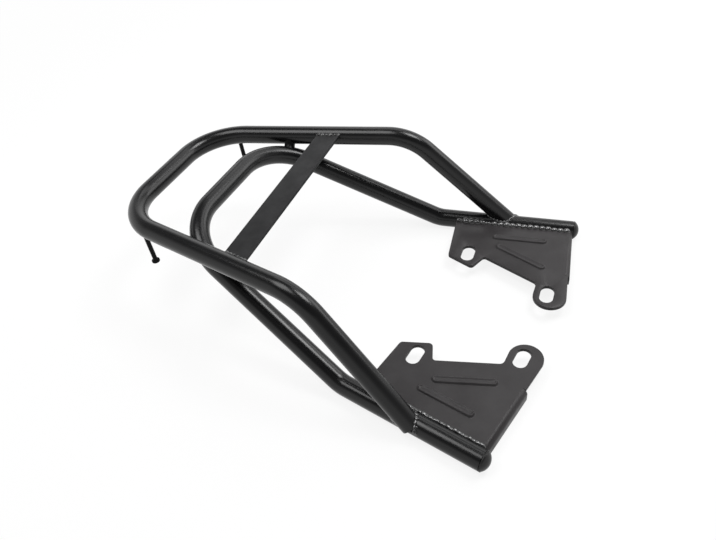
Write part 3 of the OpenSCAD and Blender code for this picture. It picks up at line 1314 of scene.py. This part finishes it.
@dataclass(frozen=True)
class WeldBead:
    """A bead laid as a row of overlapping puddles, melted into one.

    Puddle length is a share of the pitch, unevenness and wander are shares of the bead's own
    size, and spatter is the chance of a drop beside each puddle in percent.
    """

    width: float
    height: float
    pitch: float
    seed: int
    puddle_long: float = 1.3
    uneven: float = 0.14
    spatter: int = 0
    grain: float = 0.36
    lean_deg: float = 18.0
    lean_spread_deg: float = 6.0
    wander_side: float = 0.12
    wander_out: float = 0.1
    drop_away: Pair = (0.45, 0.6)
    drop_r: float = 0.45
    drop_spread: float = 0.35
    drop_flat: float = 0.7

    def lay(self, name: str, path: Sequence[Vector], up: Sequence[Vector]) -> Piece:
        """Lay the bead along a path.

        Args:
            name: The bead's name.
            path: Points of the bead's centre line in millimetres.
            up: The outward direction of the bead at each point.

        Returns:
            The melted bead.
        """
        dice = random.Random(self.seed)
        puddle = start_piece("puddle", bpy.ops.mesh.primitive_uv_sphere_add, segments=24, ring_count=14,
                             radius=1.0)
        puddles = []
        for place, run, out in self._steps(path, up):
            side = run.cross(out).normalized()
            blob = copy_piece(puddle, "puddle_copy")
            blob.matrix_world = self._puddle_place(place, side, out, dice)
            puddles.append(blob)
            if self.spatter and dice.random() < self.spatter / 100:
                puddles.append(self._drop(puddle, place, side, dice))
        scrap(puddle)
        for blob in puddles:
            apply_place(blob)
        bead = joined(puddles, name)
        finish_modifier(bead, "REMESH", mode="VOXEL", voxel_size=self.grain * MM, adaptivity=0.0)
        finish_modifier(bead, "SMOOTH", factor=0.5, iterations=2)
        face_out(bead)
        take(bead)
        bpy.ops.object.shade_smooth()
        return bead

    def _puddle_place(self, place: Vector, side: Vector, out: Vector, dice: random.Random) -> Matrix:
        """Give the frame and size of one puddle, as uneven as a hand leaves it.

        Args:
            place: Its place on the bead's centre line.
            side: The direction across the bead.
            out: The bead's outward direction.
            dice: The bead's own random numbers.

        Returns:
            The frame in metres, for a ball of radius 1.
        """
        size = 1.0 + dice.uniform(-self.uneven, self.uneven)
        turn = Matrix((side, out.cross(side), out)).transposed().to_4x4()
        lean = math.radians(self.lean_deg + dice.uniform(-self.lean_spread_deg, self.lean_spread_deg))
        flat = Matrix.Diagonal((self.width / 2 * size * MM, self.pitch * self.puddle_long / 2 * MM,
                                self.height * size * MM, 1.0))
        shift = (side * dice.uniform(-self.wander_side, self.wander_side) * self.width / 2
                 + out * dice.uniform(-self.wander_out, self.wander_out) * self.height)
        return Matrix.Translation(metres(place + shift)) @ turn @ Matrix.Rotation(lean, 4, "X") @ flat

    def _drop(self, puddle: Piece, place: Vector, side: Vector, dice: random.Random) -> Piece:
        """Throw one drop of spatter beside the bead.

        Args:
            puddle: The ball that drops are copied from.
            place: Where the torch was.
            side: The direction across the bead.
            dice: The bead's own random numbers.

        Returns:
            The drop.
        """
        drop = copy_piece(puddle, "spatter")
        away = side * dice.choice((-1, 1)) * self.width * dice.uniform(*self.drop_away)
        radius = self.drop_r + dice.random() * self.drop_spread
        flat = Matrix.Diagonal((radius * MM, radius * MM, radius * self.drop_flat * MM, 1.0))
        drop.matrix_world = Matrix.Translation(metres(place + away)) @ flat
        return drop

    def _steps(self, path: Sequence[Vector], up: Sequence[Vector]) -> list[tuple[Vector, Vector, Vector]]:
        """Share the path out into even steps.

        Args:
            path: Points of the bead's centre line.
            up: The outward direction at each point.

        Returns:
            Place, run direction and outward direction of each puddle.
        """
        lengths = [0.0]
        for a, b in zip(path, path[1:]):
            lengths.append(lengths[-1] + (b - a).length)
        count = max(2, round(lengths[-1] / self.pitch))
        hair = 1e-9
        steps = []
        for k in range(count + 1):
            want = lengths[-1] * k / count
            i = max(j for j in range(len(path) - 1) if lengths[j] <= want + hair)
            share = (want - lengths[i]) / max(hair, lengths[i + 1] - lengths[i])
            run = (path[i + 1] - path[i]).normalized()
            out = across(up[i].lerp(up[i + 1], share), run).normalized()
            steps.append((path[i].lerp(path[i + 1], share), run, out))
        return steps


PLATE_BEADS = {
    Side.RIGHT: WeldBead(4.0, 1.3, 3.4, seed=11, puddle_long=2.1, uneven=0.16, spatter=6),
    Side.LEFT: WeldBead(6.6, 2.1, 6.2, seed=29, uneven=0.3, spatter=32)}
RAIL_BEAD = WeldBead(3.5, 1.0, 3.9, seed=23, uneven=0.3, spatter=16)
STRAP_BEADS = {
    side: WeldBead(3.8, 1.0, 4.2, seed=37 + side.value, uneven=0.3, spatter=12) for side in Side}


@dataclass
class RackWelds:
    """The beads that hold the rack together, each laid at the right.

    The leans are how far a bead's outward direction tips toward +X of its frame for each
    millimetre that it goes up.
    """

    layout: RackLayout
    plate: MountingPlate
    strap: CrossStrap
    plate_margin: float = 4.0
    plate_in: float = 1.2
    plate_rise: float = 0.1
    plate_lean: float = 0.35
    landing_step_deg: float = 2.5
    landing_lift: float = 0.25
    strap_margin: float = 1.5
    strap_in: float = 0.2
    strap_rise: float = 0.05
    strap_lean: float = -0.3

    def plate_bead(self, name: str, side: Side) -> Piece:
        """Lay a bead between a plate's top and its tube, as if at the right.

        Args:
            name: The bead's name.
            side: The side it belongs to, as the two were laid unlike each other.

        Returns:
            The bead, on the right plate.
        """
        lay, plate = self.layout, self.plate
        sheet = lay.plate()
        edge = math.sqrt(lay.tube_d ** 2 / 4 - (lay.plate_lift + plate.sheet_t) ** 2)
        path = [sheet @ vec(edge + self.plate_in, y, plate.sheet_t + self.plate_rise)
                for y in (plate.front + self.plate_margin, plate.back / 2, plate.back - self.plate_margin)]
        out = (sheet.to_3x3() @ vec(self.plate_lean, 0, 1)).normalized()
        return PLATE_BEADS[side].lay(name, path, [out] * len(path))

    def rail_bead(self, name: str) -> Piece:
        """Lay the bead round a rail's landing on the lower tube.

        Each point is where a line along the rail's skin meets the lower tube's skin.

        Args:
            name: The bead's name.

        Returns:
            The right landing bead.
        """
        lay = self.layout
        down = (lay.up_land - lay.up_front).normalized()
        along = (lay.low_front - lay.low_bend).normalized()
        side = down.cross(along).normalized()
        lift = side.cross(down).normalized()
        radius = lay.tube_d / 2
        half_turn = round(180 / self.landing_step_deg)
        path, up = [], []
        for k in range(-half_turn, half_turn + 1):
            angle = math.radians(k * self.landing_step_deg)
            spoke = lift * math.cos(angle) + side * math.sin(angle)
            start = lay.up_land + spoke * radius
            flat, gap = across(down, along), across(start - lay.low_bend, along)
            a, b, c = flat.dot(flat), 2 * flat.dot(gap), gap.dot(gap) - radius ** 2
            inside = b * b - 4 * a * c
            if inside < 0:
                continue
            place = start + down * ((-b - math.sqrt(inside)) / (2 * a))
            low = across(place - lay.low_bend, along).normalized()
            path.append(place + (low + spoke) * self.landing_lift)
            up.append((low + spoke).normalized())
        return RAIL_BEAD.lay(name, path, up)

    def strap_bead(self, name: str, side: Side) -> Piece:
        """Lay the short bead at one end of the strap, as if at the right.

        Args:
            name: The bead's name.
            side: The side it belongs to, for the strap's skew.

        Returns:
            The bead, on the right rail.
        """
        lay, strap = self.layout, self.strap
        inset_x = math.sqrt(lay.tube_d ** 2 / 4 - strap.rise ** 2) + self.strap_in
        centre = strap.along + math.tan(strap.skew) * side.value * strap.half
        run = strap.width / 2 - self.strap_margin
        deck = lay.deck()
        path = [deck @ vec(strap.half + lay.rail_splay * (centre - strap.along + r) - inset_x, centre + r,
                           strap.rise + self.strap_rise) for r in (-run, 0.0, run)]
        out = (deck.to_3x3() @ vec(self.strap_lean, 0, 1)).normalized()
        return STRAP_BEADS[side].lay(name, path, [out] * len(path))


# Studio


@dataclass(frozen=True)
class PhotoCamera:
    """The camera as the photograph had it: where it aims, from what side, how far and how long."""

    aim: Triple = (34.38, -161.0, 50.49)
    azimuth: float = math.radians(119.377)
    elevation: float = math.radians(43.039)
    roll: float = math.radians(-6.089)
    distance: float = 671.01
    focal_px: float = 722.26
    photo_width_px: float = 716.0
    sensor_mm: float = 36.0
    clip_m: Pair = (0.01, 20.0)

    def place(self) -> None:
        """Set up the camera."""
        a, e, r = self.azimuth, self.elevation, self.roll
        back = Vector((math.sin(a) * math.cos(e), -math.cos(a) * math.cos(e), math.sin(e)))
        level = Vector((math.cos(a), math.sin(a), 0.0))
        rise = back.cross(level)
        right = math.cos(r) * level + math.sin(r) * rise
        up = -math.sin(r) * level + math.cos(r) * rise
        lens = bpy.data.cameras.new("photo_camera")
        lens.sensor_fit = "HORIZONTAL"
        lens.sensor_width = self.sensor_mm
        lens.lens = self.focal_px * self.sensor_mm / self.photo_width_px
        lens.clip_start, lens.clip_end = self.clip_m
        camera = bpy.data.objects.new("photo_camera", lens)
        bpy.context.scene.collection.objects.link(camera)
        turn = Matrix((right, up, back)).transposed().to_4x4()
        camera.matrix_world = Matrix.Translation(metres(Vector(self.aim) + back * self.distance)) @ turn
        bpy.context.scene.camera = camera


@dataclass(frozen=True)
class SoftLamp:
    """A rectangular lamp: its place, its width and height in metres, and its power in watts."""

    name: str
    place: Triple
    size: Pair
    power: float

    def hang(self, aim: Vector) -> None:
        """Hang the lamp so that it faces a point.

        Args:
            aim: The point in metres.
        """
        lamp = bpy.data.lights.new(self.name, "AREA")
        lamp.shape = "RECTANGLE"
        lamp.size, lamp.size_y = self.size
        lamp.energy = self.power
        holder = bpy.data.objects.new(self.name, lamp)
        bpy.context.scene.collection.objects.link(holder)
        holder.location = self.place
        holder.rotation_euler = (aim - Vector(self.place)).to_track_quat("-Z", "Y").to_euler()


# Each lamp hangs where the tubes throw its light into the camera as one of the photograph's highlights.
LAMPS = (
    SoftLamp("side_soft", (-0.86, -0.15, 1.02), (1.6, 0.34), 3.2),
    SoftLamp("overhead_strip", (0.22, -0.66, 1.32), (0.7, 0.8), 9.5),
    SoftLamp("forward_patch", (-0.46, 0.24, 1.3), (0.5, 0.5), 10.0),
    SoftLamp("far_rim", (-1.2, -0.72, 0.6), (1.6, 0.6), 2.0),
    SoftLamp("front_rim", (-1.0, 0.55, 0.7), (0.9, 0.5), 4.0))


@dataclass
class Studio:
    """A white floor, a pale room and soft lamps overhead.

    A ray that sees the background finds it white. One that lights the rack finds it dim.
    """

    floor_z: float = -11.6
    floor_half: float = 4.0
    floor_lit: float = 0.3
    floor_seen: float = 0.95
    glow_reach: Pair = (0.55, 1.5)
    glow_share: Pair = (0.86, 1.0)
    room_dim: float = 0.18
    wall_top_deg: Pair = (14.0, 38.0)
    middle: Triple = (0.0, -0.2, 0.05)

    def build(self) -> None:
        """Set up the floor, the room and the lamps."""
        self._floor()
        self._room()
        for lamp in LAMPS:
            lamp.hang(Vector(self.middle))

    @staticmethod
    def _bench(owner: bpy.types.Material | bpy.types.World) -> NodeBench:
        """Give the empty node bench of a material or a world.

        Args:
            owner: The material or world.

        Returns:
            The bench.
        """
        owner.use_nodes = True
        owner.node_tree.nodes.clear()
        return NodeBench(owner)

    @staticmethod
    def _seen(bench: NodeBench) -> Socket:
        """Tell a ray that sees the background from one that lights the rack.

        Args:
            bench: The bench that the nodes go on.

        Returns:
            A value that is 1 for camera, glossy and transmitted rays.
        """
        ray = bench.add("LightPath").outputs
        either = bench.add("Math", {0: ray["Is Camera Ray"], 1: ray["Is Glossy Ray"]}, operation="MAXIMUM")
        return bench.add("Math", {0: either.outputs[0], 1: ray["Is Transmission Ray"]},
                         operation="MAXIMUM").outputs[0]

    @staticmethod
    def _output(bench: NodeBench, kind: str, seen: Socket, fade: Socket, dim: Socket, white: Socket) -> None:
        """Show one shader to the rays that see the background and another to the rest.

        Args:
            bench: The bench that the nodes go on.
            kind: The output node's kind.
            seen: 1 for rays that see the background.
            fade: How much of the white shader those rays get.
            dim: The shader for rays that light the rack.
            white: The shader for rays that see the background.
        """
        share = bench.add("Math", {0: seen, 1: fade}, operation="MULTIPLY").outputs[0]
        mix = bench.add("MixShader", {0: share, 1: dim, 2: white}).outputs[0]
        bench.add(kind, {"Surface": mix})

    def _floor(self) -> None:
        """Lay the white floor, which keeps the rack's shadow."""
        floor = start_piece("studio_floor", bpy.ops.mesh.primitive_plane_add, size=2 * self.floor_half,
                            location=(0, self.middle[1], self.floor_z * MM))
        paint = bpy.data.materials.new("floor_white")
        bench = self._bench(paint)
        seen = self._seen(bench)
        tone = bench.add("Mix", {"A": grey(self.floor_lit), "B": grey(self.floor_seen), "Factor": seen},
                         data_type="RGBA").outputs["Result"]
        matte = bench.add("BsdfDiffuse", {"Color": tone}).outputs[0]
        glow = bench.add("Emission", {"Color": grey(1.0), "Strength": 1.0}).outputs[0]
        place = bench.add("TexCoord").outputs["Object"]
        away = bench.add("VectorMath", {0: place}, operation="LENGTH").outputs["Value"]
        fade = bench.ramp(away, self.glow_reach, self.glow_share, interpolation_type="SMOOTHSTEP")
        self._output(bench, "OutputMaterial", seen, fade, matte, glow)
        floor.data.materials.append(paint)

    def _room(self) -> None:
        """Paint the room: white walls where they are seen, a dim ceiling, and little light of its own."""
        room = bpy.data.worlds.new("pale_room")
        bench = self._bench(room)
        dim, white = (bench.add("Background", {"Color": grey(1.0), "Strength": strength}).outputs[0]
                      for strength in (self.room_dim, 1.0))
        look = bench.add("TexCoord").outputs["Generated"]
        height = bench.add("SeparateXYZ", {0: look}).outputs["Z"]
        low, high = (math.sin(math.radians(angle)) for angle in self.wall_top_deg)
        wall = bench.ramp(height, (low, high), (1.0, 0.0), interpolation_type="SMOOTHSTEP")
        self._output(bench, "OutputWorld", self._seen(bench), wall, dim, white)
        bpy.context.scene.world = room


# The rack


@dataclass
class LuggageRack:
    """The whole rack, built from its tubes outwards."""

    layout: RackLayout = field(default_factory=RackLayout)
    bar_run_out: float = 8.0

    def build(self) -> None:
        """Build and dress every piece, right side first and then its mirror image."""
        lay = self.layout
        upper = self._loop([lay.up_rear, lay.up_front, lay.up_land],
                           [lay.loop_corner_r, lay.loop_front_r, 0.0])
        lower = self._loop([lay.low_rear, lay.low_bend, lay.low_front],
                           [lay.lower_corner_r, lay.lower_bend_r, 0.0])
        upper_bar = upper.solid("upper_bar")
        lower_bar = lower.solid("lower_bar", self.bar_run_out)
        dress(upper.tube("upper_tube", lower_bar), TUBE_COAT, "upper_loop_tube")
        dress(lower.tube("lower_tube"), TUBE_COAT, "lower_loop_tube")

        plate, strap = MountingPlate(lay), CrossStrap(lay)
        welds = RackWelds(lay, plate, strap)
        dress(strap.build("deck_strap", upper_bar), STRAP_COAT, "cross_strap")
        for piece, coat, node in (
                (plate.build("right_plate"), PLATE_COAT, "mounting_plate"),
                (HookPost(lay).build("right_post", upper_bar), POST_COAT, "hook_post"),
                (LoopSpacer(lay).build("right_spacer", upper_bar, lower_bar), POST_COAT, "loop_spacer"),
                (EndCap(lay).build("right_cap"), CAP_PLASTIC, "end_cap"),
                (welds.rail_bead("right_rail_bead"), WELD_COAT, "rail_weld")):
            self._pair(piece, coat, node)
        for lay_bead, name, node in ((welds.plate_bead, "plate_bead", "plate_weld"),
                                     (welds.strap_bead, "strap_bead", "strap_weld")):
            right = lay_bead(f"right_{name}", Side.RIGHT)
            self._pair(right, WELD_COAT, node, lay_bead(f"left_{name}_start", Side.LEFT))
        scrap(upper_bar, lower_bar)

    def _loop(self, points: Sequence[Vector], radii: Sequence[float]) -> TubeLoop:
        """Give a loop of the rack's tube, a hair thinner than the CAD one."""
        return TubeLoop(points, radii, self.layout.tube_d - self.layout.skin_gap, self.layout.tube_wall)

    @staticmethod
    def _pair(right: Piece, coat: Coat, node: str, other: Piece | None = None) -> None:
        """Dress a right piece and its fellow at the left.

        Args:
            right: The finished right piece.
            coat: The finish of both.
            node: The CAD nodes' name without its side.
            other: What the left one mirrors where the two differ. It is scrapped after that.
        """
        left = mirrored(right if other is None else other, right.name.replace("right", "left"))
        dress(right, coat, f"right_{node}")
        dress(left, coat, f"left_{node}")
        if other is not None:
            scrap(other)


def main() -> None:
    """Build the rack, the studio and the camera."""
    logging.basicConfig(level=logging.INFO, format="%(message)s")
    bpy.context.scene.view_settings.view_transform = "Standard"
    LuggageRack().build()
    Studio().build()
    PhotoCamera().place()


if __name__ == "__main__":
    main()
